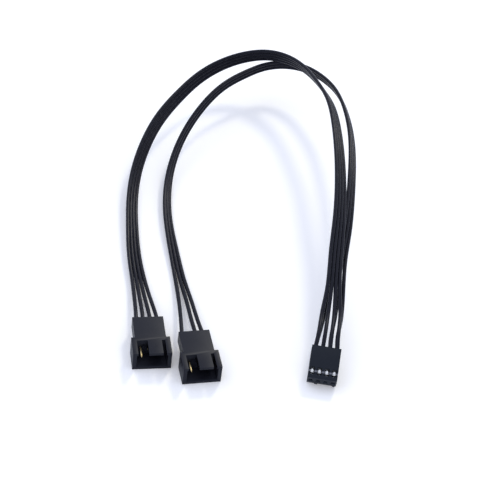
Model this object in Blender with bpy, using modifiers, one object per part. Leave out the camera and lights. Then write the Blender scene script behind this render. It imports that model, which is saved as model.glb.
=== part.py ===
# Fan splitter cable: one 4-way female housing, two ribbons of black wire and two 4-way male plugs.
# Ribbon a carries all four circuits, ribbon b leaves out circuit 3, the speed signal.
# Frame: +Z up, the three connectors lie along X and their mating ends face -Y.
# The origin is on the resting surface, under the middle of the three connectors.
# All sizes are in millimetres; to_metres() at the end of each mesh turns them into metres.

import bmesh
import bpy
import math
import numpy as np
from mathutils import Matrix, Vector

MM = 0.001

# Circuits of the connector family, numbered 4 to 1 from -X to +X
PITCH = 2.54
PIN_SIDE = 0.64
CIRCUITS = (4, 3, 2, 1)
CIRCUITS_A = (4, 3, 2, 1)
CIRCUITS_B = (4, 2, 1)
SIGNAL = {4: "pwm", 3: "sense", 2: "12v", 1: "ground"}
CLEAR = 0.3            # running gap between a metal part and the plastic round it
CUT_PAST = 1.0         # how far a cut runs past the face that it opens

# Wires
WIRE_OD = 1.36
WIRE_GAP = 0.10        # between neighbouring wires of a ribbon
STACK_GAP = 0.14       # between the two wires that share a female terminal
WIRE_POINTS = 62       # centreline points of each wire
STUB = 3.2             # straight wire behind each housing

# Female housing
FEMALE_FLOOR = 0.52    # under the rear cavities
FEMALE_ROOF = 1.02     # over the rear cavities
FEMALE_TAIL = 2.7      # wire inside the housing, behind the crimp
FEMALE_EDGE = 0.22
FRONT_WALL = 1.0
NOSE_LENGTH = 2.4      # lowered strip at the mating end
NOSE_STEP = 0.6
RIB_HEIGHT = 0.8
RIB_LENGTH = 9.0
RIB_WIDTH = 1.1
KEY_FIT = 0.15         # beside a rib in its notch
PIN_HOLE_FIT = 0.23    # round a pin in the front wall
PIN_HOLE_LEAD = 0.28   # chamfer at each hole's mouth
WINDOW_WIDTH = 1.7
WINDOW_START = 1.45
WINDOW_LENGTH = 2.45

# Female terminal
CONTACT_WIDTH = 1.45
CONTACT_HEIGHT = 2.1
CONTACT_FIT = 0.15     # round a pin in the contact
CONTACT_BACK = 1.2     # solid end of the contact
PIN_END_ROOM = 0.7     # in front of a mated pin's tip
TANG_RISE = 1.3
TANG_THICK = 0.28
TANG_TAPER = 0.5       # width of a tang's tip as a share of its root
NECK_LENGTH = 0.9
NECK_WIDTH = 0.9
NECK_HEIGHT = 0.7
CRIMP_LENGTH = 1.8
CRIMP_WIDTH = 1.3

# Male housing
SOCKET_FIT_X = 0.15    # beside the female housing in the socket
SOCKET_FIT_Z = 0.10
SOCKET_DEPTH = 6.4
BULKHEAD = 1.6         # wall between the socket and the terminal cavities
SIDE_WALL = 1.45
FLOOR_WALL = 1.1
ROOF_WALL = 1.1
TONGUE_WIDTH = 4.9
ROOF_LIP = 0.35        # roof left beside each side wall
MALE_EDGE = 0.22
MALE_TAIL = 3.6        # wire inside the housing, behind the crimp
BODY_WALL = 0.55
BODY_FLOOR = 0.6
BODY_STEP = 0.2        # body top below the shroud top
LATCH_WIDTH = 1.3
LATCH_START = 1.1      # behind the front of the terminal's block
LATCH_LENGTH = 2.0

# Male terminal
PIN_TIP = 2.0          # pin end behind the mouth
PIN_POINT = 0.5
BLOCK_SIDE = 1.45
BLOCK_LENGTH = 3.0
BLOCK_ROOM = 0.5       # between the bulkhead and the block
MALE_TANG_DROP = 0.85

# Worked out from the sizes above: wires and terminal cavities
RIBBON_PITCH = WIRE_OD + WIRE_GAP
STACK_RISE = (WIRE_OD + STACK_GAP) / 2
STACK_HEIGHT = 2 * WIRE_OD + STACK_GAP
OUTER_CIRCUITS = (len(CIRCUITS) - 1) * PITCH
CONTACT_CAVITY_WIDTH = max(CONTACT_WIDTH, CRIMP_WIDTH, WIRE_OD) + 2 * CLEAR
CONTACT_CAVITY_HEIGHT = CONTACT_HEIGHT + 2 * CLEAR
REAR_CAVITY_HEIGHT = max(STACK_HEIGHT + 2 * CLEAR, CONTACT_CAVITY_HEIGHT)
MALE_CAVITY_WIDTH = max(BLOCK_SIDE, WIRE_OD) + 2 * CLEAR

# Female housing and terminal, measured from the mating face and the underside
FEMALE_WIDTH = len(CIRCUITS) * PITCH
FEMALE_HEIGHT = FEMALE_FLOOR + REAR_CAVITY_HEIGHT + FEMALE_ROOF
FEMALE_AXIS = FEMALE_FLOOR + REAR_CAVITY_HEIGHT / 2
CONTACT_Y = FRONT_WALL + CLEAR
BORE_END = SOCKET_DEPTH - PIN_TIP + PIN_END_ROOM
FEMALE_NECK_Y = BORE_END + CONTACT_BACK
FEMALE_CRIMP_Y = FEMALE_NECK_Y + NECK_LENGTH
FEMALE_WIRE_Y = FEMALE_CRIMP_Y + CRIMP_LENGTH + CLEAR
FEMALE_LENGTH = FEMALE_WIRE_Y + FEMALE_TAIL

# Male housing and terminal, measured from the mouth and the resting face
SOCKET_WIDTH = FEMALE_WIDTH + 2 * SOCKET_FIT_X
SOCKET_HEIGHT = FEMALE_HEIGHT + 2 * SOCKET_FIT_Z
SHROUD_WIDTH = SOCKET_WIDTH + 2 * SIDE_WALL
SHROUD_HEIGHT = SOCKET_HEIGHT + FLOOR_WALL + ROOF_WALL
SHROUD_LENGTH = SOCKET_DEPTH + BULKHEAD
MALE_AXIS = FLOOR_WALL + SOCKET_FIT_Z + FEMALE_HEIGHT - FEMALE_AXIS
NOTCH_EDGE = SOCKET_WIDTH / 2 - ROOF_LIP
TONGUE_LEFT = (PITCH - TONGUE_WIDTH) / 2
TONGUE_RIGHT = (PITCH + TONGUE_WIDTH) / 2
BODY_WIDTH = OUTER_CIRCUITS + MALE_CAVITY_WIDTH + 2 * BODY_WALL
BODY_TOP = SHROUD_HEIGHT - BODY_STEP
BODY_BOTTOM = MALE_AXIS - MALE_CAVITY_WIDTH / 2 - BODY_FLOOR
MALE_BLOCK_Y = SHROUD_LENGTH + BLOCK_ROOM
MALE_NECK_Y = MALE_BLOCK_Y + BLOCK_LENGTH
MALE_CRIMP_Y = MALE_NECK_Y + NECK_LENGTH
MALE_WIRE_Y = MALE_CRIMP_Y + CRIMP_LENGTH + CLEAR
MALE_LENGTH = MALE_WIRE_Y + MALE_TAIL
LATCH_Y = MALE_BLOCK_Y + LATCH_START

# How each connector lies: the middle of its mating end, its turn about Z and its nose-down tilt
FEMALE_X = 31.06
FEMALE_Y = -3.14
FEMALE_TURN = -1.5
FEMALE_TILT = 21.5
MALE_A_X = -27.12
MALE_A_Y = -6.54
MALE_A_TURN = 13.8
MALE_B_X = -9.50
MALE_B_Y = -9.84
MALE_B_TURN = 17.0

# Ribbon routes from the female housing to the male one, between the straight stubs.
# Each row is x, y, z of the ribbon's middle, then its lean and its fan.
# Lean is the turn of the circuit 4 edge from upright, towards the inside of the loop.
# Fan is 0 where the wires lie side by side and 1 where they stand a full pitch apart.
ROUTE_A = (
    (31.8, 23.1, 10.4, 86, 0.62),
    (31.7, 30.6, 12.6, 77, 0.18),
    (31.3, 46.7, 16.3, 65, 0.045),
    (31.2, 61.4, 19.5, 57, 0.01),
    (30.5, 77.4, 22.5, 51, 0),
    (28.9, 93.9, 25.0, 47, 0),
    (26.7, 109.4, 26.3, 43, 0),
    (22.9, 126.5, 26.1, 38, 0),
    (17.9, 138.9, 24.6, 33, 0),
    (11.7, 150.4, 22.6, 27, 0),
    (3.6, 158.9, 20.3, 20, 0),
    (-4.8, 162.5, 18.1, 12, 0),
    (-13.6, 161.2, 16.2, 4, 0),
    (-22.3, 155.6, 14.7, -5, 0),
    (-29.8, 146.7, 13.5, -13, 0),
    (-36.2, 134.6, 12.3, -19, 0),
    (-42.2, 119.6, 10.6, -26, 0),
    (-45.8, 104.5, 8.0, -32, 0),
    (-47.1, 90.2, 5.3, -38, 0),
    (-46.3, 75.8, 3.3, -45, 0),
    (-44.0, 61.0, 2.3, -53, 0),
    (-41.0, 46.3, 1.9, -67, 0.01),
    (-37.6, 33.8, 2.0, -82, 0.1),
    (-35.0, 24.3, 3.0, -89, 0.38),
)
ROUTE_B = (
    (32.6, 23.3, 7.4, 86, 0.69),
    (33.0, 34.0, 10.6, 75, 0.48),
    (33.8, 48.9, 13.4, 62, 0.06),
    (34.6, 61.9, 15.9, 54, 0.02),
    (34.8, 77.2, 18.6, 47, 0),
    (34.4, 92.7, 20.6, 41, 0),
    (33.0, 111.2, 21.6, 34, 0),
    (30.1, 127.5, 21.2, 29, 0),
    (25.3, 142.8, 19.6, 26, 0),
    (18.8, 153.7, 17.5, 22, 0),
    (12.0, 160.5, 15.6, 18, 0),
    (4.8, 163.1, 14.3, 13, 0),
    (-2.9, 161.2, 13.7, 8, 0),
    (-10.6, 154.6, 13.5, 3, 0),
    (-18.3, 145.5, 13.1, -1, 0),
    (-24.4, 134.8, 12.0, -7, 0),
    (-29.0, 123.9, 9.9, -12, 0),
    (-32.5, 111.8, 7.2, -18, 0),
    (-34.2, 100.2, 4.7, -26, 0),
    (-34.3, 88.7, 2.9, -36, 0),
    (-33.0, 76.7, 2.0, -45, 0),
    (-30.5, 64.8, 1.6, -55, 0),
    (-27.1, 52.2, 1.3, -70, 0.01),
    (-23.3, 38.7, 1.3, -83, 0.08),
    (-19.7, 26.0, 2.4, -89, 0.36),
)
END_FAN = 0.86         # fan at the end of each stub

# Surface colours
COLOURS = {
    "male_plastic": ((0.034, 0.034, 0.044, 1), 0.50, 0.0),
    "female_plastic": ((0.018, 0.022, 0.028, 1), 0.42, 0.0),
    "wire_pvc": ((0.012, 0.012, 0.014, 1), 0.36, 0.0),
    "pin_brass": ((0.80, 0.62, 0.30, 1), 0.25, 1.0),
    "terminal_tin": ((0.78, 0.78, 0.76, 1), 0.28, 1.0),
}


def clear_scene():
    for obj in list(bpy.data.objects):
        bpy.data.objects.remove(obj, do_unlink=True)


def make_material(name):
    colour, roughness, metallic = COLOURS[name]
    material = bpy.data.materials.new(name)
    material.use_nodes = True
    shader = material.node_tree.nodes["Principled BSDF"]
    shader.inputs["Base Color"].default_value = colour
    shader.inputs["Roughness"].default_value = roughness
    shader.inputs["Metallic"].default_value = metallic
    material.diffuse_color = colour
    return material


def make_collection(name):
    collection = bpy.data.collections.new(name)
    bpy.context.scene.collection.children.link(collection)
    return collection


def circuit_x(circuit):
    return (2.5 - circuit) * PITCH


def to_metres(bm):
    bmesh.ops.scale(bm, vec=(MM, MM, MM), verts=bm.verts)


def add_box(bm, x0, x1, y0, y1, z0, z1):
    middle = Vector(((x0 + x1) / 2, (y0 + y1) / 2, (z0 + z1) / 2))
    size = Matrix.Diagonal((x1 - x0, y1 - y0, z1 - z0, 1))
    bmesh.ops.create_cube(bm, size=1.0, matrix=Matrix.Translation(middle) @ size)


def add_bar(bm, x, sections):
    # A bar along Y through rectangular sections: y, half width, lower z, upper z
    rings = []
    for y, half, low, high in sections:
        corners = ((x - half, low), (x + half, low), (x + half, high), (x - half, high))
        rings.append([bm.verts.new((cx, y, cz)) for cx, cz in corners])
    bm.faces.new(rings[0])
    for ring, after in zip(rings, rings[1:]):
        for i in range(4):
            j = (i + 1) % 4
            bm.faces.new((ring[j], ring[i], after[i], after[j]))
    bm.faces.new(reversed(rings[-1]))


class Builder:
    # Puts meshes in the part's collection or the cutters' collection, under a connector's empty
    def __init__(self, title):
        self.parts = make_collection(title)
        self.cutters = make_collection("cutters")
        self.materials = {name: make_material(name) for name in COLOURS}

    def place(self, name, x, y, z, turn, tilt):
        empty = bpy.data.objects.new(name, None)
        empty.location = (x * MM, y * MM, z * MM)
        empty.rotation_euler = (math.radians(tilt), 0, math.radians(turn))
        self.parts.objects.link(empty)
        return empty

    def mesh_object(self, name, bm, parent):
        to_metres(bm)
        mesh = bpy.data.meshes.new(name)
        bm.to_mesh(mesh)
        bm.free()
        obj = bpy.data.objects.new(name, mesh)
        obj.parent = parent
        return obj

    def part(self, name, bm, parent, material):
        obj = self.mesh_object(name, bm, parent)
        obj.data.materials.append(self.materials[material])
        self.parts.objects.link(obj)
        return obj

    def cutter(self, name, bm, parent):
        obj = self.mesh_object(name, bm, parent)
        obj.hide_render = True
        obj.display_type = "WIRE"
        self.cutters.objects.link(obj)
        return obj


def bevel(obj, width):
    modifier = obj.modifiers.new("edges", "BEVEL")
    modifier.width = width * MM
    modifier.segments = 1
    modifier.limit_method = "ANGLE"
    modifier.angle_limit = math.radians(40)


def combine(obj, other, operation):
    modifier = obj.modifiers.new(other.name, "BOOLEAN")
    modifier.operation = operation
    modifier.solver = "EXACT"
    modifier.object = other


def cut_with(builder, obj, name, fill, operation="DIFFERENCE"):
    # fill() adds closed boxes or bars to an empty mesh, which then cuts or joins obj
    bm = bmesh.new()
    fill(bm)
    tool = builder.cutter(obj.name + "_" + name, bm, obj.parent)
    combine(obj, tool, operation)


def male_housing(builder, name, empty):
    half = SHROUD_WIDTH / 2
    bm = bmesh.new()
    add_box(bm, -half, half, 0, SHROUD_LENGTH, 0, SHROUD_HEIGHT)
    housing = builder.part(name, bm, empty, "male_plastic")
    bevel(housing, MALE_EDGE)

    def body(bm):
        half = BODY_WIDTH / 2
        start = SHROUD_LENGTH - BULKHEAD / 2
        add_box(bm, -half, half, start, MALE_LENGTH, BODY_BOTTOM, BODY_TOP)

    def socket(bm):
        half = SOCKET_WIDTH / 2
        add_box(bm, -half, half, -CUT_PAST, SOCKET_DEPTH, FLOOR_WALL, FLOOR_WALL + SOCKET_HEIGHT)

    def notches(bm):
        # The roof between the two notches is the locking tongue
        low = FLOOR_WALL + SOCKET_HEIGHT / 2
        high = SHROUD_HEIGHT + CUT_PAST
        add_box(bm, -NOTCH_EDGE, TONGUE_LEFT, -CUT_PAST, SOCKET_DEPTH, low, high)
        add_box(bm, TONGUE_RIGHT, NOTCH_EDGE, -CUT_PAST, SOCKET_DEPTH, low, high)

    def pin_holes(bm):
        half = PIN_SIDE / 2 + CLEAR
        start = SOCKET_DEPTH - CLEAR
        for circuit in CIRCUITS:
            x = circuit_x(circuit)
            add_box(bm, x - half, x + half, start, MALE_BLOCK_Y, MALE_AXIS - half, MALE_AXIS + half)

    def cavities(bm):
        half = MALE_CAVITY_WIDTH / 2
        start = MALE_BLOCK_Y - CLEAR
        end = MALE_LENGTH + CUT_PAST
        for circuit in CIRCUITS:
            x = circuit_x(circuit)
            add_box(bm, x - half, x + half, start, end, MALE_AXIS - half, MALE_AXIS + half)

    def latch_windows(bm):
        half = LATCH_WIDTH / 2
        end = LATCH_Y + LATCH_LENGTH
        for circuit in CIRCUITS:
            x = circuit_x(circuit)
            add_box(bm, x - half, x + half, LATCH_Y, end, BODY_BOTTOM - CUT_PAST, MALE_AXIS)

    cut_with(builder, housing, "body", body, "UNION")
    cut_with(builder, housing, "socket", socket)
    cut_with(builder, housing, "notches", notches)
    cut_with(builder, housing, "pin_holes", pin_holes)
    cut_with(builder, housing, "cavities", cavities)
    cut_with(builder, housing, "latch_windows", latch_windows)


def male_pin(builder, name, empty, circuit):
    x = circuit_x(circuit)
    axis = MALE_AXIS
    half = PIN_SIDE / 2
    block = BLOCK_SIDE / 2
    crimp = WIRE_OD / 2
    bm = bmesh.new()
    add_bar(bm, x, (
        (PIN_TIP, half / 2, axis - half / 2, axis + half / 2),
        (PIN_TIP + PIN_POINT, half, axis - half, axis + half),
        (MALE_BLOCK_Y, half, axis - half, axis + half),
        (MALE_BLOCK_Y + CLEAR, block, axis - block, axis + block),
        (MALE_NECK_Y, block, axis - block, axis + block),
        (MALE_NECK_Y + CLEAR, NECK_WIDTH / 2, axis - NECK_HEIGHT / 2, axis + NECK_HEIGHT / 2),
        (MALE_CRIMP_Y, NECK_WIDTH / 2, axis - NECK_HEIGHT / 2, axis + NECK_HEIGHT / 2),
        (MALE_CRIMP_Y + CLEAR, crimp, axis - crimp, axis + crimp),
        (MALE_CRIMP_Y + CRIMP_LENGTH, crimp, axis - crimp, axis + crimp),
    ))
    pin = builder.part(name, bm, empty, "pin_brass")

    def tang(bm):
        # The lance is hinged at the mating end and drops to the rear, inside its window
        root = axis - block
        wide = LATCH_WIDTH / 2 - CLEAR
        start = LATCH_Y + CLEAR
        end = LATCH_Y + LATCH_LENGTH - CLEAR
        add_bar(bm, x, (
            (start, wide, root - TANG_THICK / 2, root + TANG_THICK),
            (end, wide * TANG_TAPER, root - MALE_TANG_DROP, root - MALE_TANG_DROP + TANG_THICK),
        ))

    cut_with(builder, pin, "tang", tang, "UNION")


def female_housing(builder, name, empty):
    half = FEMALE_WIDTH / 2
    bm = bmesh.new()
    add_box(bm, -half, half, 0, FEMALE_LENGTH, 0, FEMALE_HEIGHT)
    housing = builder.part(name, bm, empty, "female_plastic")
    bevel(housing, FEMALE_EDGE)

    def nose(bm):
        wide = half + CUT_PAST
        low = FEMALE_HEIGHT - NOSE_STEP
        add_box(bm, -wide, wide, -CUT_PAST, NOSE_LENGTH, low, FEMALE_HEIGHT + CUT_PAST)

    def ribs(bm):
        # Each rib runs in a notch beside the male tongue when the housings are mated
        left = TONGUE_LEFT - KEY_FIT
        right = TONGUE_RIGHT + KEY_FIT
        inside = 2 * FEMALE_EDGE
        add_box(bm, left - RIB_WIDTH, left, 0, RIB_LENGTH, -RIB_HEIGHT, inside)
        add_box(bm, right, NOTCH_EDGE - KEY_FIT, 0, RIB_LENGTH, -RIB_HEIGHT, inside)

    def contact_cavities(bm):
        half = CONTACT_CAVITY_WIDTH / 2
        low = FEMALE_AXIS - CONTACT_CAVITY_HEIGHT / 2
        high = FEMALE_AXIS + CONTACT_CAVITY_HEIGHT / 2
        for circuit in CIRCUITS:
            x = circuit_x(circuit)
            add_box(bm, x - half, x + half, FRONT_WALL, FEMALE_LENGTH + CUT_PAST, low, high)

    def rear_cavities(bm):
        # The two wires of a terminal lie one over the other here
        half = CONTACT_CAVITY_WIDTH / 2
        low = FEMALE_FLOOR
        high = FEMALE_FLOOR + REAR_CAVITY_HEIGHT
        for circuit in CIRCUITS:
            x = circuit_x(circuit)
            add_box(bm, x - half, x + half, FEMALE_NECK_Y, FEMALE_LENGTH + CUT_PAST, low, high)

    def pin_holes(bm):
        axis = FEMALE_AXIS
        hole = PIN_SIDE / 2 + PIN_HOLE_FIT
        wide = hole + 2 * PIN_HOLE_LEAD
        for circuit in CIRCUITS:
            add_bar(bm, circuit_x(circuit), (
                (-PIN_HOLE_LEAD, wide, axis - wide, axis + wide),
                (PIN_HOLE_LEAD, hole, axis - hole, axis + hole),
                (CONTACT_Y, hole, axis - hole, axis + hole),
            ))

    def windows(bm):
        half = WINDOW_WIDTH / 2
        end = WINDOW_START + WINDOW_LENGTH
        high = FEMALE_HEIGHT + CUT_PAST
        for circuit in CIRCUITS:
            x = circuit_x(circuit)
            add_box(bm, x - half, x + half, WINDOW_START, end, FEMALE_AXIS, high)

    cut_with(builder, housing, "nose", nose)
    cut_with(builder, housing, "ribs", ribs, "UNION")
    cut_with(builder, housing, "contact_cavities", contact_cavities)
    cut_with(builder, housing, "rear_cavities", rear_cavities)
    cut_with(builder, housing, "pin_holes", pin_holes)
    cut_with(builder, housing, "windows", windows)


def female_terminal(builder, name, empty, circuit):
    x = circuit_x(circuit)
    axis = FEMALE_AXIS
    width = CONTACT_WIDTH / 2
    height = CONTACT_HEIGHT / 2
    crimp = STACK_HEIGHT / 2 - CLEAR
    bm = bmesh.new()
    add_bar(bm, x, (
        (CONTACT_Y, width, axis - height, axis + height),
        (FEMALE_NECK_Y, width, axis - height, axis + height),
        (FEMALE_NECK_Y + CLEAR, NECK_WIDTH / 2, axis - NECK_HEIGHT / 2, axis + NECK_HEIGHT / 2),
        (FEMALE_CRIMP_Y, NECK_WIDTH / 2, axis - NECK_HEIGHT / 2, axis + NECK_HEIGHT / 2),
        (FEMALE_CRIMP_Y + CLEAR, CRIMP_WIDTH / 2, axis - crimp, axis + crimp),
        (FEMALE_CRIMP_Y + CRIMP_LENGTH, CRIMP_WIDTH / 2, axis - crimp, axis + crimp),
    ))
    terminal = builder.part(name, bm, empty, "terminal_tin")

    def tang(bm):
        # The lance is hinged at the mating end and rises to the rear, inside its window
        root = axis + height
        wide = WINDOW_WIDTH / 2 - CLEAR
        start = WINDOW_START + CLEAR
        end = WINDOW_START + WINDOW_LENGTH - CLEAR
        add_bar(bm, x, (
            (start, wide, root - TANG_THICK, root + TANG_THICK / 2),
            (end, wide * TANG_TAPER, root + TANG_RISE - TANG_THICK, root + TANG_RISE),
        ))

    def bore(bm):
        half = PIN_SIDE / 2 + CONTACT_FIT
        add_box(bm, x - half, x + half, 0, BORE_END, axis - half, axis + half)

    cut_with(builder, terminal, "tang", tang, "UNION")
    cut_with(builder, terminal, "bore", bore)


def smooth_curve(knots, along, stations):
    # Natural cubic spline through the knots, read at the stations
    count = len(along)
    step = np.diff(along)
    slope = np.diff(knots, axis=0) / step[:, None]
    system = np.eye(count)
    right = np.zeros_like(knots)
    for i in range(1, count - 1):
        system[i, i - 1:i + 2] = (step[i - 1], 2 * (step[i - 1] + step[i]), step[i])
        right[i] = 6 * (slope[i] - slope[i - 1])
    bend = np.linalg.solve(system, right)
    index = np.clip(np.searchsorted(along, stations) - 1, 0, count - 2)
    before = ((stations - along[index]) / step[index])[:, None]
    after = 1 - before
    width = (step[index] ** 2 / 6)[:, None]
    line = after * knots[index] + before * knots[index + 1]
    curl = (after ** 3 - after) * bend[index] + (before ** 3 - before) * bend[index + 1]
    return line + width * curl


def connector_points(empty, height, distances):
    # Points on a connector's middle plane, in millimetres of the part's frame
    turn = Matrix.Rotation(empty.rotation_euler.z, 3, "Z") @ Matrix.Rotation(empty.rotation_euler.x, 3, "X")
    foot = empty.location / MM
    return [foot + turn @ Vector((0, y, height)) for y in distances]


def ribbon_knots(route, female, female_height, male):
    start = connector_points(female, female_height, (FEMALE_WIRE_Y, FEMALE_LENGTH, FEMALE_LENGTH + STUB))
    end = connector_points(male, MALE_AXIS, (MALE_LENGTH + STUB, MALE_LENGTH, MALE_WIRE_Y))
    middle = [Vector(row[:3]) for row in route]
    knots = np.array([tuple(p) for p in start + middle + end])
    lean = np.radians([90, 90, 89] + [row[3] for row in route] + [-90, -90, -90])
    fan = np.array([1, 1, END_FAN] + [row[4] for row in route] + [END_FAN, 1, 1])
    return knots, lean, fan


def unit(rows):
    return rows / np.linalg.norm(rows, axis=1)[:, None]


def add_ribbon(builder, letter, circuits, route, female, female_height, male):
    knots, lean, fan = ribbon_knots(route, female, female_height, male)
    along = np.concatenate(([0], np.cumsum(np.linalg.norm(np.diff(knots, axis=0), axis=1))))
    small = along[-1] / 10000
    ahead = smooth_curve(knots, along, np.minimum(along + small, along[-1]))
    behind = smooth_curve(knots, along, np.maximum(along - small, 0))
    tangent = unit(ahead - behind)
    tangent[:2] = unit(knots[1:2] - knots[0:1])
    tangent[-2:] = unit(knots[-1:] - knots[-2:-1])
    inside = unit(np.stack((-tangent[:, 1], tangent[:, 0], np.zeros(len(tangent))), axis=1))
    upright = np.cross(tangent, inside)
    edge = np.cos(lean)[:, None] * upright + np.sin(lean)[:, None] * inside
    stations = np.linspace(0, along[-1], WIRE_POINTS)
    for place, circuit in enumerate(circuits):
        ribbon_side = ((len(circuits) - 1) / 2 - place) * RIBBON_PITCH
        offset = (1 - fan) * ribbon_side - fan * circuit_x(circuit)
        points = smooth_curve(knots + offset[:, None] * edge, along, stations)
        add_wire(builder, f"wire_{letter}_{SIGNAL[circuit]}", points)


def add_wire(builder, name, points):
    curve = bpy.data.curves.new(name, "CURVE")
    curve.dimensions = "3D"
    curve.bevel_depth = WIRE_OD / 2 * MM
    curve.bevel_resolution = 2
    curve.use_fill_caps = True
    spline = curve.splines.new("POLY")
    spline.points.add(len(points) - 1)
    for target, point in zip(spline.points, points):
        target.co = (point[0] * MM, point[1] * MM, point[2] * MM, 1)
    curve.materials.append(builder.materials["wire_pvc"])
    builder.parts.objects.link(bpy.data.objects.new(name, curve))


def main():
    clear_scene()
    builder = Builder("fan_splitter_cable")

    # The female housing stands on the front ends of its ribs
    lift = RIB_HEIGHT * math.cos(math.radians(FEMALE_TILT))
    female = builder.place("female_place", FEMALE_X, FEMALE_Y, lift, FEMALE_TURN, FEMALE_TILT)
    female_housing(builder, "female_housing", female)
    for circuit in CIRCUITS:
        female_terminal(builder, f"female_terminal_{circuit}", female, circuit)

    male_a = builder.place("male_a_place", MALE_A_X, MALE_A_Y, 0, MALE_A_TURN, 0)
    male_housing(builder, "male_housing_a", male_a)
    for circuit in CIRCUITS_A:
        male_pin(builder, f"male_pin_a_{circuit}", male_a, circuit)

    male_b = builder.place("male_b_place", MALE_B_X, MALE_B_Y, 0, MALE_B_TURN, 0)
    male_housing(builder, "male_housing_b", male_b)
    for circuit in CIRCUITS_B:
        male_pin(builder, f"male_pin_b_{circuit}", male_b, circuit)

    upper = FEMALE_AXIS + STACK_RISE
    lower = FEMALE_AXIS - STACK_RISE
    add_ribbon(builder, "a", CIRCUITS_A, ROUTE_A, female, upper, male_a)
    add_ribbon(builder, "b", CIRCUITS_B, ROUTE_B, female, lower, male_b)


main()
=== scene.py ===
# Fan splitter cable: a flat female housing, two ribbons of black wire and two shrouded plugs
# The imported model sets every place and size
# This file makes the fine surfaces, the light and the view

import math

import bmesh
import bpy
import numpy as np
from mathutils import Matrix, Vector


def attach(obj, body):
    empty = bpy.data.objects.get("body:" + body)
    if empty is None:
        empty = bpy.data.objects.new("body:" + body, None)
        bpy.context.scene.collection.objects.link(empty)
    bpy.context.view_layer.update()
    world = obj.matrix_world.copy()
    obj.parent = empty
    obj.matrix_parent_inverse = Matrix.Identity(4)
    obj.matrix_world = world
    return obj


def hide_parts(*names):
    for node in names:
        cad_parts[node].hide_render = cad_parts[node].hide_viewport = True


mm = 0.001  # the connectors' sizes below are in millimetres
past = 1  # how far a cutting block reaches past an open side
frontward = Vector((0, -1, 0))  # the side that mates, in a connector's own frame
rearward = Vector((0, 1, 0))
upward = Vector((0, 0, 1))

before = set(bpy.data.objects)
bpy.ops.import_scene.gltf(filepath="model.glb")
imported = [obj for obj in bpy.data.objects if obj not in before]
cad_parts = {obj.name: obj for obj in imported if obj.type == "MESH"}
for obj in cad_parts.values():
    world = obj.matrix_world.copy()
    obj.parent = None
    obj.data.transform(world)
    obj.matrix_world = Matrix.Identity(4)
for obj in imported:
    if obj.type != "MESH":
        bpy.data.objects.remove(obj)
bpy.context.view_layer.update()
print("frame loaded:", len(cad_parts), "nodes")


# Small modelling helpers

def deselectAll():
    if bpy.context.object and bpy.context.object.mode != "OBJECT":
        bpy.ops.object.mode_set(mode="OBJECT")
    bpy.ops.object.select_all(action="DESELECT")


def makeActive(piece):
    deselectAll()
    piece.select_set(True)
    bpy.context.view_layer.objects.active = piece


def addBlock(name, low, high):
    # a cube at its size and place, from its lowest to its highest corner
    deselectAll()
    centre = [(a + b) / 2 * mm for a, b in zip(low, high)]
    size = [(b - a) * mm for a, b in zip(low, high)]
    bpy.ops.mesh.primitive_cube_add(size=1, location=centre, scale=size)
    bpy.ops.object.transform_apply(location=True, rotation=True, scale=True)
    piece = bpy.context.object
    piece.name = name
    piece.data.name = name
    return piece


def joined(pieces):
    makeActive(pieces[0])
    for piece in pieces:
        piece.select_set(True)
    if len(pieces) > 1:
        bpy.ops.object.join()
    return bpy.context.object


def combine(piece, tool, operation="DIFFERENCE"):
    makeActive(piece)
    modifier = piece.modifiers.new("combine", "BOOLEAN")
    modifier.operation = operation
    modifier.solver = "EXACT"
    modifier.object = tool
    bpy.ops.object.modifier_apply(modifier=modifier.name)
    bpy.data.objects.remove(tool, do_unlink=True)


def cutBlocks(piece, blocks):
    tools = [addBlock("tool", low, high) for low, high in blocks]
    combine(piece, joined(tools))


def pickFaces(piece, direction):
    # opens edit mode with only the faces selected that look in the direction
    nearlyAlong = 0.9
    makeActive(piece)
    bpy.ops.object.mode_set(mode="EDIT")
    bpy.ops.mesh.select_mode(type="FACE")
    bpy.ops.mesh.select_all(action="DESELECT")
    mesh = bmesh.from_edit_mesh(piece.data)
    for face in mesh.faces:
        face.select_set(face.normal.dot(direction) > nearlyAlong)
    bmesh.update_edit_mesh(piece.data)


def pickedMiddle(piece):
    mesh = bmesh.from_edit_mesh(piece.data)
    picked = [vert.co for vert in mesh.verts if vert.select]
    return sum(picked, Vector()) / len(picked)


def extrudePicked(piece, along, scale=(1, 1, 1)):
    # pushes the selected faces along, then scales them about their own middle
    move = tuple(value * mm for value in along)
    bpy.ops.mesh.extrude_region_move(TRANSFORM_OT_translate={"value": move})
    if scale != (1, 1, 1):
        bpy.ops.transform.resize(value=scale, center_override=pickedMiddle(piece))


def roundEdges(piece, width, segments=3):
    # an edge that turns by more than the limit is bevelled and stays crisp
    limit = math.radians(35)
    makeActive(piece)
    modifier = piece.modifiers.new("rounded", "BEVEL")
    modifier.width = width * mm
    modifier.segments = segments
    modifier.limit_method = "ANGLE"
    modifier.angle_limit = limit
    modifier.use_clamp_overlap = True
    bpy.ops.object.modifier_apply(modifier=modifier.name)
    bpy.ops.object.shade_smooth_by_angle(angle=limit)


def settle(piece, place, material):
    # moves a finished piece from its connector's own frame to its place, and dresses it
    makeActive(piece)
    piece.matrix_world = place
    bpy.ops.object.transform_apply(location=True, rotation=True, scale=True)
    piece.data.materials.clear()
    piece.data.materials.append(material)


# Shader helpers: an expression on Value objects adds its Math nodes

class Value:
    def __init__(self, maker, socket):
        self.maker = maker
        self.socket = socket

    def math(self, operation, first, second):
        return self.maker.node("ShaderNodeMath", {"operation": operation}, {0: first, 1: second})

    def __add__(self, other):
        return self.math("ADD", self, other)

    def __radd__(self, other):
        return self.math("ADD", other, self)

    def __sub__(self, other):
        return self.math("SUBTRACT", self, other)

    def __rsub__(self, other):
        return self.math("SUBTRACT", other, self)

    def __mul__(self, other):
        return self.math("MULTIPLY", self, other)

    def __rmul__(self, other):
        return self.math("MULTIPLY", other, self)


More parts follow.
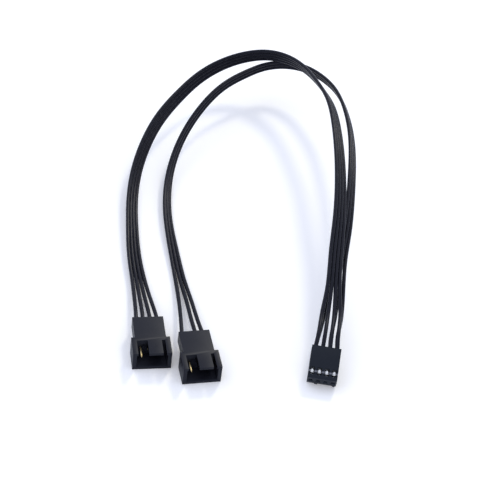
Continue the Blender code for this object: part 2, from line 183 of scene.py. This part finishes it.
class Finish:
    # one material: its Principled shader and the nodes that feed it
    def __init__(self, name, colour, roughness, metallic=0.0):
        self.material = bpy.data.materials.new(name)
        self.material.use_nodes = True
        self.tree = self.material.node_tree
        self.shader = self.tree.nodes["Principled BSDF"]
        self.put("Base Color", (*colour, 1))
        self.put("Roughness", roughness)
        self.put("Metallic", metallic)
        self.material.diffuse_color = (*colour, 1)

    def put(self, socket, value):
        self.feed(self.shader.inputs[socket], value)

    def feed(self, target, value):
        if isinstance(value, Value):
            self.tree.links.new(value.socket, target)
        else:
            target.default_value = value

    def node(self, kind, settings=None, inputs=None, output=0):
        node = self.tree.nodes.new(kind)
        for key, value in (settings or {}).items():
            setattr(node, key, value)
        for key, value in (inputs or {}).items():
            self.feed(node.inputs[key], value)
        return Value(self, node.outputs[output])

    def objectSpace(self, stretch=(1, 1, 1)):
        place = self.node("ShaderNodeTexCoord", output="Object")
        return self.node("ShaderNodeMapping", inputs={"Vector": place, "Scale": stretch})

    def alongSpace(self, stretch):
        place = self.node("ShaderNodeUVMap", {"uv_map": "UVMap"})
        return self.node("ShaderNodeMapping", inputs={"Vector": place, "Scale": stretch})

    def noise(self, where, scale, detail, roughness=0.55):
        return self.node("ShaderNodeTexNoise", inputs={
            "Vector": where, "Scale": scale, "Detail": detail, "Roughness": roughness})

    def between(self, mask, low, high):
        return self.node("ShaderNodeMapRange", inputs={
            "Value": mask, "From Min": low, "From Max": high, "To Min": 0, "To Max": 1})

    def blend(self, mask, first, second):
        # the Mix node takes its colours at sockets 6 and 7 and gives the result at 2
        first, second = [(*c, 1) if isinstance(c, tuple) else c for c in (first, second)]
        inputs = {0: mask, 6: first, 7: second}
        return self.node("ShaderNodeMix", {"data_type": "RGBA"}, inputs, output=2)

    def relief(self, height, distance, strength):
        bump = self.node("ShaderNodeBump", inputs={
            "Height": height, "Distance": distance, "Strength": strength})
        self.put("Normal", bump)


# Camera, set to the photograph's viewing angle

cameraSettings = {
    "target": (0.00045, 0.0613, 0.0),
    "distance": 0.6,
    "elevation": 41.46,
    "roll": 8.11,
    "lens": 115.78,
    "sensor": 36,
    "clip": (0.01, 20),
}


def makeCamera(s):
    elevation = math.radians(s["elevation"])
    roll = math.radians(s["roll"])
    forward = Vector((0, math.cos(elevation), -math.sin(elevation)))
    up = Vector((0, math.sin(elevation), math.cos(elevation)))
    side = Vector((1, 0, 0))
    right = math.cos(roll) * side + math.sin(roll) * up
    top = math.cos(roll) * up - math.sin(roll) * side
    data = bpy.data.cameras.new("camera")
    data.lens = s["lens"]
    data.sensor_width = s["sensor"]
    data.clip_start, data.clip_end = s["clip"]
    camera = bpy.data.objects.new("camera", data)
    bpy.context.scene.collection.objects.link(camera)
    turn = Matrix((right, top, -forward)).transposed().to_4x4()
    place = Vector(s["target"]) - forward * s["distance"]
    camera.matrix_world = Matrix.Translation(place) @ turn
    bpy.context.scene.camera = camera


makeCamera(cameraSettings)
print("camera placed")


# Where each connector lies: its mating end's middle, its turn and its nose-down tilt

lies = {
    "female": {"at": (31.06, -3.14, 0.7443), "turn": -1.5, "tilt": 21.5},
    "plugA": {"at": (-27.12, -6.54, 0.0), "turn": 13.8, "tilt": 0.0},
    "plugB": {"at": (-9.50, -9.84, 0.0), "turn": 17.0, "tilt": 0.0},
}


def placeOf(name):
    s = lies[name]
    move = Matrix.Translation(Vector(s["at"]) * mm)
    turn = Matrix.Rotation(math.radians(s["turn"]), 4, "Z")
    return move @ turn @ Matrix.Rotation(math.radians(s["tilt"]), 4, "X")


circuits = (4, 3, 2, 1)  # from left to right as seen from the mating side
signals = {4: "pwm", 3: "sense", 2: "12v", 1: "ground"}
ribbonCircuits = {"a": (4, 3, 2, 1), "b": (4, 2, 1)}
pitch = 2.54
middleCircuit = 2.5


def circuitX(circuit):
    return (middleCircuit - circuit) * pitch


# Finishes
# a noise is given by scale, detail and at times roughness, a relief by depth and strength

nylonLook = {
    "tint": (0.74, 0.80, 1.0, 1),
    "grain": (9000, 2),
    "flow": (260, 4),
    "scuffs": (900, 6, 0.7),
    "scuffRange": (0.56, 0.74),
    "scuffAmount": 0.3,
    # the pale colour painted as a highlight on the step behind the female housing's nose
    "paintedStepHighlight": (0.19, 0.195, 0.22),
    "smoother": 0.06,
    "flowRoughness": 0.12,
    "scuffRoughness": 0.05,
    "flowHeight": 0.6,
    "relief": (0.000012, 0.5),
}

plugNylon = {
    **nylonLook,
    "colour": (0.0055, 0.0055, 0.0085),
    "lighter": 1.25,
    "worn": (0.020, 0.021, 0.030),
    "roughness": 0.42,
    "gloss": 0.26,
}

housingNylon = {
    **nylonLook,
    "colour": (0.0080, 0.0100, 0.0135),
    "lighter": 1.3,
    "worn": (0.022, 0.025, 0.034),
    "roughness": 0.36,
    "gloss": 0.22,
}


def mouldedFinish(name, s):
    # moulded nylon: a fine spark-eroded grain, slow flow marks, faint handling marks and a pale
    # painted highlight on the faces marked for it
    finish = Finish(name, s["colour"], s["roughness"])
    finish.put("Specular IOR Level", s["gloss"])
    finish.put("Specular Tint", s["tint"])
    where = finish.objectSpace()
    grain = finish.noise(where, *s["grain"])
    flow = finish.noise(where, *s["flow"])
    rubbed = finish.between(finish.noise(where, *s["scuffs"]), *s["scuffRange"])
    base = finish.blend(flow, s["colour"], tuple(value * s["lighter"] for value in s["colour"]))
    scuffed = finish.blend(rubbed * s["scuffAmount"], base, s["worn"])
    # a painted highlight: the faces marked on the female housing's step take the pale colour
    paintedStepHighlight = finish.node("ShaderNodeAttribute", {"attribute_name": "paintedStepHighlight"}, output=2)
    finish.put("Base Color", finish.blend(paintedStepHighlight, scuffed, s["paintedStepHighlight"]))
    rough = flow * s["flowRoughness"] + rubbed * s["scuffRoughness"]
    finish.put("Roughness", s["roughness"] - s["smoother"] + rough)
    finish.relief(grain + flow * s["flowHeight"], *s["relief"])
    return finish.material


wireSkin = {
    "colour": (0.0095, 0.0100, 0.0145),
    "paler": (0.013, 0.0135, 0.019),
    "dustColour": (0.035, 0.035, 0.045),
    "tint": (0.78, 0.80, 1.0, 1),
    "roughness": 0.26,
    "gloss": 0.12,
    "dieStretch": (3, 9, 1),
    "dieLines": (4, 3),
    "waves": (320, 3),
    "dust": (1500, 5, 0.7),
    "dustRange": (0.58, 0.8),
    "dustAmount": 0.2,
    "smoother": 0.06,
    "waveRoughness": 0.14,
    "dustRoughness": 0.1,
    "waveHeight": 0.7,
    "relief": (0.00002, 0.5),
}


def wireFinish(name, s):
    # extruded insulation: long die lines, a slow waviness and a little dust in patches
    finish = Finish(name, s["colour"], s["roughness"])
    finish.put("Specular IOR Level", s["gloss"])
    finish.put("Specular Tint", s["tint"])
    lines = finish.noise(finish.alongSpace(s["dieStretch"]), *s["dieLines"])
    waves = finish.noise(finish.objectSpace(), *s["waves"])
    dust = finish.between(finish.noise(finish.objectSpace(), *s["dust"]), *s["dustRange"])
    base = finish.blend(waves, s["colour"], s["paler"])
    finish.put("Base Color", finish.blend(dust * s["dustAmount"], base, s["dustColour"]))
    rough = waves * s["waveRoughness"] + dust * s["dustRoughness"]
    finish.put("Roughness", s["roughness"] - s["smoother"] + rough)
    finish.relief(lines + waves * s["waveHeight"], *s["relief"])
    return finish.material


metalLook = {
    "rollStretch": (1, 0.08, 1),
    "rollLines": (9000, 3),
    "tarnish": (1300, 4),
    "tarnishRange": (0.45, 0.8),
    "tarnishAmount": 0.5,
    "smoother": 0.04,
    "rollRoughness": 0.12,
    "tarnishRoughness": 0.1,
    "relief": (0.000004, 0.4),
}

brassPlate = {
    **metalLook,
    "colour": (0.60, 0.48, 0.25),
    "tarnished": (0.55, 0.40, 0.18),
    "roughness": 0.28,
}

tinPlate = {
    **metalLook,
    "colour": (0.86, 0.86, 0.84),
    "tarnished": (0.62, 0.60, 0.56),
    "roughness": 0.22,
}


def metalFinish(name, s):
    # plated strip: rolling lines along it and a slight tarnish
    finish = Finish(name, s["colour"], s["roughness"], metallic=1.0)
    rolled = finish.noise(finish.objectSpace(s["rollStretch"]), *s["rollLines"])
    patches = finish.noise(finish.objectSpace(), *s["tarnish"])
    tarnish = finish.between(patches, *s["tarnishRange"])
    dulled = finish.blend(tarnish * s["tarnishAmount"], s["colour"], s["tarnished"])
    finish.put("Base Color", dulled)
    rough = rolled * s["rollRoughness"] + tarnish * s["tarnishRoughness"]
    finish.put("Roughness", s["roughness"] - s["smoother"] + rough)
    finish.relief(rolled, *s["relief"])
    return finish.material


plugMaterial = mouldedFinish("plugNylon", plugNylon)
housingMaterial = mouldedFinish("housingNylon", housingNylon)
wireMaterial = wireFinish("wireSkin", wireSkin)
brassMaterial = metalFinish("brassPlate", brassPlate)
tinMaterial = metalFinish("tinPlate", tinPlate)
print("finishes made")


# Wires, in metres, apart from the ends, which are in the connectors' own frames in millimetres

ribbonSettings = {
    "diameter": 0.00144,
    "ribbonPitch": 0.00146,
    "stackRise": 0.00075,
    "stub": 0.0032,
    "femaleCrimp": 9.3,
    "femaleEnd": 12.0,
    "femaleAxis": 2.25,
    "plugCrimp": 14.5,
    "plugEnd": 18.1,
    "plugAxis": 3.95,
    "startLeans": [90, 90, 89],
    "endLeans": [-90, -90, -90],
    "endFan": 0.86,
    "points": 260,
    "roundness": 6,
    "weld": 0.00001,
    "smoothAngle": 50,
}

# each row is x, y, z of the ribbon's middle, its lean in degrees and its fan
# a fan of 0 is a closed ribbon, and one of 1 has the circuits at their full pitch

routeA = (
    (0.0318, 0.0231, 0.0104, 86, 0.62),
    (0.0317, 0.0306, 0.0126, 77, 0.18),
    (0.0313, 0.0467, 0.0163, 65, 0.045),
    (0.0312, 0.0614, 0.0195, 57, 0.01),
    (0.0305, 0.0774, 0.0225, 51, 0),
    (0.0289, 0.0939, 0.0250, 47, 0),
    (0.0267, 0.1094, 0.0263, 43, 0),
    (0.0229, 0.1265, 0.0261, 38, 0),
    (0.0179, 0.1389, 0.0246, 33, 0),
    (0.0117, 0.1504, 0.0226, 27, 0),
    (0.0036, 0.1589, 0.0203, 20, 0),
    (-0.0048, 0.1625, 0.0181, 12, 0),
    (-0.0136, 0.1612, 0.0162, 4, 0),
    (-0.0223, 0.1556, 0.0147, -5, 0),
    (-0.0298, 0.1467, 0.0135, -13, 0),
    (-0.0362, 0.1346, 0.0123, -19, 0),
    (-0.0422, 0.1196, 0.0106, -26, 0),
    (-0.0458, 0.1045, 0.0080, -32, 0),
    (-0.0471, 0.0902, 0.0053, -38, 0),
    (-0.0463, 0.0758, 0.0033, -45, 0),
    (-0.0440, 0.0610, 0.0023, -53, 0),
    (-0.0410, 0.0463, 0.0019, -67, 0.01),
    (-0.0376, 0.0338, 0.0020, -82, 0.1),
    (-0.0350, 0.0243, 0.0030, -89, 0.38),
)

routeB = (
    (0.0326, 0.0233, 0.0074, 86, 0.69),
    (0.0330, 0.0340, 0.0106, 75, 0.48),
    (0.0338, 0.0489, 0.0134, 62, 0.06),
    (0.0346, 0.0619, 0.0159, 54, 0.02),
    (0.0348, 0.0772, 0.0186, 47, 0),
    (0.0344, 0.0927, 0.0206, 41, 0),
    (0.0330, 0.1112, 0.0216, 34, 0),
    (0.0301, 0.1275, 0.0212, 29, 0),
    (0.0253, 0.1428, 0.0196, 26, 0),
    (0.0188, 0.1537, 0.0175, 22, 0),
    (0.0120, 0.1605, 0.0156, 18, 0),
    (0.0048, 0.1631, 0.0143, 13, 0),
    (-0.0029, 0.1612, 0.0137, 8, 0),
    (-0.0106, 0.1546, 0.0135, 3, 0),
    (-0.0183, 0.1455, 0.0131, -1, 0),
    (-0.0244, 0.1348, 0.0120, -7, 0),
    (-0.0290, 0.1239, 0.0099, -12, 0),
    (-0.0325, 0.1118, 0.0072, -18, 0),
    (-0.0342, 0.1002, 0.0047, -26, 0),
    (-0.0343, 0.0887, 0.0029, -36, 0),
    (-0.0330, 0.0767, 0.0020, -45, 0),
    (-0.0305, 0.0648, 0.0016, -55, 0),
    (-0.0271, 0.0522, 0.0013, -70, 0.01),
    (-0.0233, 0.0387, 0.0013, -83, 0.08),
    (-0.0197, 0.0260, 0.0024, -89, 0.36),
)


def smoothCurve(knots, along, stations):
    # natural cubic spline through the knots, read at the stations
    count = len(along)
    step = np.diff(along)
    slope = np.diff(knots, axis=0) / step[:, None]
    system = np.eye(count)
    right = np.zeros_like(knots)
    for i in range(1, count - 1):
        system[i, i - 1:i + 2] = (step[i - 1], 2 * (step[i - 1] + step[i]), step[i])
        right[i] = 6 * (slope[i] - slope[i - 1])
    bend = np.linalg.solve(system, right)
    index = np.clip(np.searchsorted(along, stations) - 1, 0, count - 2)
    before = ((stations - along[index]) / step[index])[:, None]
    after = 1 - before
    width = (step[index] ** 2 / 6)[:, None]
    line = after * knots[index] + before * knots[index + 1]
    curl = (after ** 3 - after) * bend[index] + (before ** 3 - before) * bend[index + 1]
    return line + width * curl


def unit(rows):
    return rows / np.linalg.norm(rows, axis=1)[:, None]


def ribbonLines(s, route, female, startHeight, plug, wires):
    # the centreline of each wire, from its crimp in the female housing to the one in the plug
    stub = s["stub"] / mm
    leaving = (s["femaleCrimp"], s["femaleEnd"], s["femaleEnd"] + stub)
    entering = (s["plugEnd"] + stub, s["plugEnd"], s["plugCrimp"])
    start = [tuple(female @ (Vector((0, y, startHeight)) * mm)) for y in leaving]
    end = [tuple(plug @ (Vector((0, y, s["plugAxis"])) * mm)) for y in entering]
    knots = np.array(start + [row[:3] for row in route] + end)
    lean = np.radians(s["startLeans"] + [row[3] for row in route] + s["endLeans"])
    fan = np.array([1, 1, s["endFan"]] + [row[4] for row in route] + [s["endFan"], 1, 1])
    along = np.concatenate(([0], np.cumsum(np.linalg.norm(np.diff(knots, axis=0), axis=1))))
    small = along[-1] / 10000  # the step that the tangents are taken over
    ahead = smoothCurve(knots, along, np.minimum(along + small, along[-1]))
    behind = smoothCurve(knots, along, np.maximum(along - small, 0))
    tangent = unit(ahead - behind)
    tangent[:2] = unit(knots[1:2] - knots[0:1])
    tangent[-2:] = unit(knots[-1:] - knots[-2:-1])
    inside = unit(np.stack((-tangent[:, 1], tangent[:, 0], np.zeros(len(tangent))), axis=1))
    edge = np.cos(lean)[:, None] * np.cross(tangent, inside) + np.sin(lean)[:, None] * inside
    stations = np.linspace(0, along[-1], s["points"])
    lines = []
    for place, circuit in enumerate(wires):
        side = ((len(wires) - 1) / 2 - place) * s["ribbonPitch"]
        offset = (1 - fan) * side - fan * circuitX(circuit) * mm
        lines.append(smoothCurve(knots + offset[:, None] * edge, along, stations))
    return lines


def makeWire(node, points, diameter):
    # a round curve along the points, made a closed mesh that keeps its lengthwise map
    s = ribbonSettings
    deselectAll()
    curve = bpy.data.curves.new(node, "CURVE")
    curve.dimensions = "3D"
    curve.bevel_depth = diameter / 2
    curve.bevel_resolution = s["roundness"]
    curve.use_fill_caps = True
    spline = curve.splines.new("POLY")
    spline.points.add(len(points) - 1)
    for target, point in zip(spline.points, points):
        target.co = (*point, 1)
    wire = bpy.data.objects.new("skin_" + node, curve)
    bpy.context.scene.collection.objects.link(wire)
    makeActive(wire)
    bpy.ops.object.convert(target="MESH")
    wire = bpy.context.object
    bpy.ops.object.mode_set(mode="EDIT")
    bpy.ops.mesh.select_all(action="SELECT")
    bpy.ops.mesh.remove_doubles(threshold=s["weld"])
    bpy.ops.mesh.normals_make_consistent(inside=False)
    bpy.ops.object.mode_set(mode="OBJECT")
    bpy.ops.object.shade_smooth_by_angle(angle=math.radians(s["smoothAngle"]))
    wire.data.materials.clear()
    wire.data.materials.append(wireMaterial)
    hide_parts(node)
    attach(wire, "root")


def makeRibbon(letter, route, rise, plug):
    # both ribbons share the female crimps, one a stackRise above their axis and one below
    s = ribbonSettings
    wires = ribbonCircuits[letter]
    height = s["femaleAxis"] + rise * s["stackRise"] / mm
    lines = ribbonLines(s, route, placeOf("female"), height, placeOf(plug), wires)
    for circuit, points in zip(wires, lines):
        makeWire("wire_" + letter + "_" + signals[circuit], points, s["diameter"])


makeRibbon("a", routeA, 1, "plugA")
makeRibbon("b", routeB, -1, "plugB")
print("wires made")


# Shrouded plugs

plugSettings = {
    "width": 13.36,
    "height": 7.4,
    "socketDepth": 6.4,
    "socketWidth": 10.46,
    "socketLow": 1.1,
    "socketHigh": 6.3,
    "leadIn": 0.3,
    "tongue": (-1.18, 3.72),
    "notchEdge": 4.88,
    "notchFloor": 4,
    "notchTop": 9,
    "bulkheadEnd": 8.0,
    "bodyStart": 7.2,
    "bodyWidth": 10.77,
    "bodyLow": 2.325,
    "bodyHigh": 7.2,
    "length": 18.1,
    "axis": 3.95,
    "cavity": 2.05,
    "cavityStart": 8.2,
    "hole": 0.84,
    "holeStart": 6.1,
    "holeEnd": 8.5,
    "windowWidth": 1.3,
    "window": (9.6, 11.6),
    "windowLow": 1.0,
    "edge": 0.16,
}


def makePlugShell(name, node, place):
    s = plugSettings
    half = s["width"] / 2
    shell = addBlock(name, (-half, 0, 0), (half, s["bulkheadEnd"], s["height"]))

    # the socket is pushed in from the front, past a sloped lead-in
    lead = s["leadIn"]
    tall = s["socketHigh"] - s["socketLow"]
    rim = (s["height"] - tall) / 2 - lead / 2
    pickFaces(shell, frontward)
    bpy.ops.mesh.inset(thickness=rim * mm)
    wide = (s["socketWidth"] + lead) / (s["width"] - 2 * rim)
    bpy.ops.transform.resize(value=(wide, 1, 1), center_override=pickedMiddle(shell))
    narrow = s["socketWidth"] / (s["socketWidth"] + lead)
    extrudePicked(shell, (0, lead, 0), (narrow, 1, tall / (tall + lead)))
    extrudePicked(shell, (0, s["socketDepth"] - lead, 0))
    bpy.ops.object.mode_set(mode="OBJECT")

    half = s["bodyWidth"] / 2
    low = (-half, s["bodyStart"], s["bodyLow"])
    body = addBlock("body", low, (half, s["length"], s["bodyHigh"]))
    combine(shell, body, "UNION")

    # the roof between the two notches is the locking tongue
    left, right = s["tongue"]
    edge = s["notchEdge"]
    floor = s["notchFloor"]
    cutBlocks(shell, [
        ((-edge, -past, floor), (left, s["socketDepth"], s["notchTop"])),
        ((right, -past, floor), (edge, s["socketDepth"], s["notchTop"])),
    ])
    half = s["cavity"] / 2
    hole = s["hole"] / 2
    window = s["windowWidth"] / 2
    windowStart, windowEnd = s["window"]
    axis = s["axis"]
    cavities = []
    holes = []
    windows = []
    for circuit in circuits:
        x = circuitX(circuit)
        blade = x + pinSettings["shift"][circuit]
        cavities.append(((x - half, s["cavityStart"], axis - half),
                         (x + half, s["length"] + past, axis + half)))
        holes.append(((blade - hole, s["holeStart"], axis - hole),
                      (blade + hole, s["holeEnd"], axis + hole)))
        windows.append(((x - window, windowStart, s["windowLow"]), (x + window, windowEnd, axis)))
    cutBlocks(shell, cavities)
    cutBlocks(shell, holes)
    cutBlocks(shell, windows)
    roundEdges(shell, s["edge"])
    settle(shell, place, plugMaterial)
    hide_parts(node)
    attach(shell, "root")


pinSettings = {
    "side": 0.50,
    "shift": {4: 0.38, 3: 0.42, 2: 0.0, 1: -0.3},
    "tip": {4: 1.8, 3: 4.7, 2: 2.5, 1: 2.5},
    "point": 0.7,
    "pointTaper": 0.42,
    "block": 1.45,
    "blockStart": 8.5,
    "blockEnd": 11.5,
    "flare": 0.25,
    "neckSlope": 0.3,
    "neckTaper": (0.62, 1, 0.45),
    "crimpGrow": (1.5, 1, 2.05),
    "crimpStart": 12.4,
    "crimpEnd": 14.2,
    "lance": ((-0.35, 9.9, -0.95), (0.35, 11.3, -0.6)),
    "lanceDrop": 0.6,
    "lanceTaper": (0.5, 1, 0.6),
    "edge": 0.05,
}


def makePin(name, node, place, circuit):
    # one square pin, grown from its tip to its crimp by extrusions; only its blade is shifted
    s = pinSettings
    axis = plugSettings["axis"]
    shift = s["shift"][circuit]
    x = circuitX(circuit) + shift
    tip = s["tip"][circuit]
    half = s["side"] / 2
    flare = s["flare"]
    slope = s["neckSlope"]
    low = (x - half, tip + s["point"], axis - half)
    pin = addBlock(name, low, (x + half, s["blockStart"], axis + half))
    pickFaces(pin, frontward)
    extrudePicked(pin, (0, -s["point"], 0), (s["pointTaper"], 1, s["pointTaper"]))
    bpy.ops.object.mode_set(mode="OBJECT")
    pickFaces(pin, rearward)
    grow = s["block"] / s["side"]
    extrudePicked(pin, (-shift, flare, 0), (grow, 1, grow))
    extrudePicked(pin, (0, s["blockEnd"] - s["blockStart"] - flare, 0))
    extrudePicked(pin, (0, slope, 0), s["neckTaper"])
    extrudePicked(pin, (0, s["crimpStart"] - s["blockEnd"] - slope, 0))
    extrudePicked(pin, (0, flare, 0), s["crimpGrow"])
    extrudePicked(pin, (0, s["crimpEnd"] - s["crimpStart"] - flare, 0))
    bpy.ops.object.mode_set(mode="OBJECT")

    # the sprung lance under the block, bent down behind its root
    (left, start, low), (right, end, high) = s["lance"]
    x = circuitX(circuit)
    lance = addBlock("lance", (x + left, start, axis + low), (x + right, end, axis + high))
    pickFaces(lance, rearward)
    bpy.ops.transform.translate(value=(0, 0, -s["lanceDrop"] * mm))
    bpy.ops.transform.resize(value=s["lanceTaper"], center_override=pickedMiddle(lance))
    bpy.ops.object.mode_set(mode="OBJECT")
    combine(pin, lance, "UNION")
    roundEdges(pin, s["edge"], 2)
    settle(pin, place, brassMaterial)
    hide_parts(node)
    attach(pin, "root")


for letter, wires in ribbonCircuits.items():
    place = placeOf("plug" + letter.upper())
    makePlugShell("plug_shell_" + letter, "male_housing_" + letter, place)
    for circuit in wires:
        node = "male_pin_" + letter + "_" + str(circuit)
        makePin("plated_" + node, node, place, circuit)
print("plugs made")


# Female housing

housingSettings = {
    "width": 10.16,
    "length": 12.0,
    "height": 5.0,
    "noseLength": 2.3,
    "noseStep": 0.6,
    "noseSlope": 0.35,
    "ribs": ((-2.43, -1.33), (3.87, 4.73)),
    "ribHeight": 0.8,
    "ribLength": 9.0,
    "ribRoot": 0.4,
    "axis": 2.25,
    "hole": 1.1,
    "holeMouth": 1.7,
    "funnel": 0.3,
    "holeEnd": 1.4,
    "cavity": 2.05,
    "frontStart": 1.0,
    "frontHalf": 1.35,
    "rearStart": 6.3,
    "rearLow": 0.52,
    "rearHigh": 3.98,
    "window": (1.45, 3.9),
    "windowWidth": 1.6,
    "edge": 0.14,
    "highlightMargin": 0.1,
    "highlightLow": 0.05,
    "highlightTilt": 0.45,
}


def markPaintedStepHighlight(shell):
    # marks the faces of the step behind the nose, where a pale band is painted as the highlight
    # along the step's edge
    s = housingSettings
    paintedStepHighlight = shell.data.attributes.new("paintedStepHighlight", "FLOAT", "FACE")
    low = s["height"] - s["noseStep"] - s["highlightLow"]
    start = s["noseLength"] - s["highlightMargin"]
    end = s["noseLength"] + s["noseSlope"] + s["highlightMargin"]
    for face in shell.data.polygons:
        middle = face.center / mm
        onStep = start < middle.y < end and middle.z > low
        if onStep and face.normal.y < -s["highlightTilt"]:
            paintedStepHighlight.data[face.index].value = 1.0


def makeHousing(name, node, place):
    s = housingSettings
    half = s["width"] / 2
    high = s["height"]
    step = s["noseStep"]
    shell = addBlock(name, (-half, 0, 0), (half, s["length"], high))

    # the lowered nose, with a sloped step behind it
    low = (-half - past, -past, high - step)
    nose = addBlock("nose", low, (half + past, s["noseLength"], high + past))
    pickFaces(nose, upward)
    mesh = bmesh.from_edit_mesh(nose.data)
    for vert in mesh.verts:
        vert.select_set(vert.co.z > high * mm and vert.co.y > 0)
    slope = s["noseSlope"] * (past + step) / step
    bpy.ops.transform.translate(value=(0, slope * mm, 0))
    bpy.ops.object.mode_set(mode="OBJECT")
    combine(shell, nose)
    for left, right in s["ribs"]:
        low = (left, 0, -s["ribHeight"])
        rib = addBlock("rib", low, (right, s["ribLength"], s["ribRoot"]))
        combine(shell, rib, "UNION")

    # each cavity is taller behind its terminal's box, where both wires come in
    axis = s["axis"]
    half = s["cavity"] / 2
    window = s["windowWidth"] / 2
    windowStart, windowEnd = s["window"]
    behind = s["length"] + past
    front = []
    rear = []
    windows = []
    for circuit in circuits:
        x = circuitX(circuit)
        front.append(((x - half, s["frontStart"], axis - s["frontHalf"]),
                      (x + half, behind, axis + s["frontHalf"])))
        rear.append(((x - half, s["rearStart"], s["rearLow"]), (x + half, behind, s["rearHigh"])))
        windows.append(((x - window, windowStart, axis), (x + window, windowEnd, high + past)))
    cutBlocks(shell, front)
    cutBlocks(shell, rear)

    # square pin holes with a funnel at each mouth, which reaches as far out as in
    hole = s["hole"] / 2
    depth = s["funnel"]
    grow = (2 * s["holeMouth"] - s["hole"]) / s["hole"]
    funnels = []
    for circuit in circuits:
        x = circuitX(circuit)
        low = (x - hole, depth, axis - hole)
        funnel = addBlock("funnel", low, (x + hole, s["holeEnd"], axis + hole))
        pickFaces(funnel, frontward)
        extrudePicked(funnel, (0, -2 * depth, 0), (grow, 1, grow))
        bpy.ops.object.mode_set(mode="OBJECT")
        funnels.append(funnel)
    combine(shell, joined(funnels))
    cutBlocks(shell, windows)
    roundEdges(shell, s["edge"])
    markPaintedStepHighlight(shell)
    settle(shell, place, housingMaterial)
    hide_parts(node)
    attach(shell, "root")


terminalSettings = {
    "width": 1.45,
    "low": 1.2,
    "high": 3.45,
    "start": 2.3,
    "end": 6.3,
    "neckSlope": 0.3,
    "neckTaper": (0.62, 1, 0.33),
    "crimpGrow": (1.44, 1, 2.9),
    "bore": 0.94,
    "boreEnd": 5.1,
    "lanceWidth": 1.1,
    "lanceTip": 0.34,
    "lanceTaper": 0.82,
    "lance": ((2.3, 3.8), (2.85, 4.3), (3.35, 4.58)),
    "lanceThick": 0.22,
    "rootThick": 0.4,
    "rootLength": 0.25,
    "crimpStart": 7.2,
    "crimpEnd": 9.0,
    "edge": 0.06,
}


def makeTerminal(name, node, place, circuit):
    s = terminalSettings
    axis = housingSettings["axis"]
    x = circuitX(circuit)
    half = s["width"] / 2
    slope = s["neckSlope"]
    box = addBlock(name, (x - half, s["start"], s["low"]), (x + half, s["end"], s["high"]))
    pickFaces(box, rearward)
    extrudePicked(box, (0, slope, 0), s["neckTaper"])
    extrudePicked(box, (0, s["crimpStart"] - s["end"] - slope, 0))
    extrudePicked(box, (0, slope, 0), s["crimpGrow"])
    extrudePicked(box, (0, s["crimpEnd"] - s["crimpStart"] - slope, 0))
    bpy.ops.object.mode_set(mode="OBJECT")
    bore = s["bore"] / 2
    cutBlocks(box, [((x - bore, 0, axis - bore), (x + bore, s["boreEnd"], axis + bore))])

    # the lance: a strip bent up behind its root, narrowing to its tip
    (y0, z0), (y1, z1), (y2, z2) = s["lance"]
    wide = s["lanceWidth"] / 2
    taper = s["lanceTaper"]
    root = s["rootLength"]
    lance = addBlock("lance", (x - wide, y0, z0 - s["rootThick"]), (x + wide, y0 + root, z0))
    pickFaces(lance, rearward)
    thinning = s["lanceThick"] / s["rootThick"]
    narrowing = s["lanceTip"] / (2 * wide * taper)
    extrudePicked(lance, (0, y1 - y0 - root, z1 - z0), (taper, 1, thinning))
    extrudePicked(lance, (0, y2 - y1, z2 - z1), (narrowing, 1, 1))
    bpy.ops.object.mode_set(mode="OBJECT")
    combine(box, lance, "UNION")
    roundEdges(box, s["edge"], 2)
    settle(box, place, tinMaterial)
    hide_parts(node)
    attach(box, "root")


makeHousing("socket_shell", "female_housing", placeOf("female"))
for circuit in circuits:
    node = "female_terminal_" + str(circuit)
    makeTerminal("formed_" + node, node, placeOf("female"), circuit)
print("female housing made")


# Floor, lamps and surroundings

studio = {
    "floorSize": 6,
    "floorAt": (0, 0.5, 0),
    "floorColour": (0.93, 0.94, 0.96),
    "floorLift": 0.16,
    "liftColour": (1.0, 0.92, 0.8, 1),
    "aim": (0.0, 0.07, 0.0),
    "keyFrom": (0.30, 1.05, 1.0),
    "keySize": 0.26,
    "keyPower": 6.4,
    "keyColour": (1.0, 0.93, 0.72),
    "fillFrom": (-0.85, 0.30, 1.0),
    "fillSize": 1.2,
    "fillPower": 3.0,
    "fillColour": (0.80, 0.86, 1.0),
    "skyColour": (0.80, 0.85, 1.0),
    "skyStrength": 0.95,
}


def makeFloor(s):
    # white paper, which glows a little for the camera alone, so the glow lights nothing
    deselectAll()
    bpy.ops.mesh.primitive_plane_add(size=s["floorSize"], location=s["floorAt"])
    bpy.ops.object.transform_apply(location=True, rotation=True, scale=True)
    floor = bpy.context.object
    floor.name = "floor"
    finish = Finish("floorPaper", s["floorColour"], 1.0)
    tree = finish.tree
    tree.nodes.remove(finish.shader)
    paper = finish.node("ShaderNodeBsdfDiffuse", inputs={"Color": (*s["floorColour"], 1)})
    lift = finish.node("ShaderNodeEmission", inputs={
        "Color": s["liftColour"], "Strength": s["floorLift"]})
    lit = finish.node("ShaderNodeAddShader", inputs={0: paper, 1: lift})
    seen = finish.node("ShaderNodeLightPath", output="Is Camera Ray")
    shown = finish.node("ShaderNodeMixShader", inputs={0: seen, 1: paper, 2: lit})
    output = tree.nodes["Material Output"]
    tree.links.new(shown.socket, output.inputs["Surface"])
    floor.data.materials.append(finish.material)


def makeLamp(name, s):
    data = bpy.data.lights.new(name, "AREA")
    data.shape = "DISK"
    data.size = s[name + "Size"]
    data.energy = s[name + "Power"]
    data.color = s[name + "Colour"]
    lamp = bpy.data.objects.new(name, data)
    bpy.context.scene.collection.objects.link(lamp)
    direction = Vector(s[name + "From"])
    lamp.location = Vector(s["aim"]) + direction
    lamp.rotation_euler = direction.to_track_quat("Z", "Y").to_euler()


def makeStudio(s):
    makeFloor(s)
    makeLamp("key", s)
    makeLamp("fill", s)
    world = bpy.data.worlds.new("surroundings")
    world.use_nodes = True
    bpy.context.scene.world = world
    tree = world.node_tree
    sky = tree.nodes["Background"]
    sky.inputs["Color"].default_value = (*s["skyColour"], 1)
    sky.inputs["Strength"].default_value = s["skyStrength"]
    bpy.context.scene.view_settings.view_transform = "Standard"


makeStudio(studio)
print("studio lit")
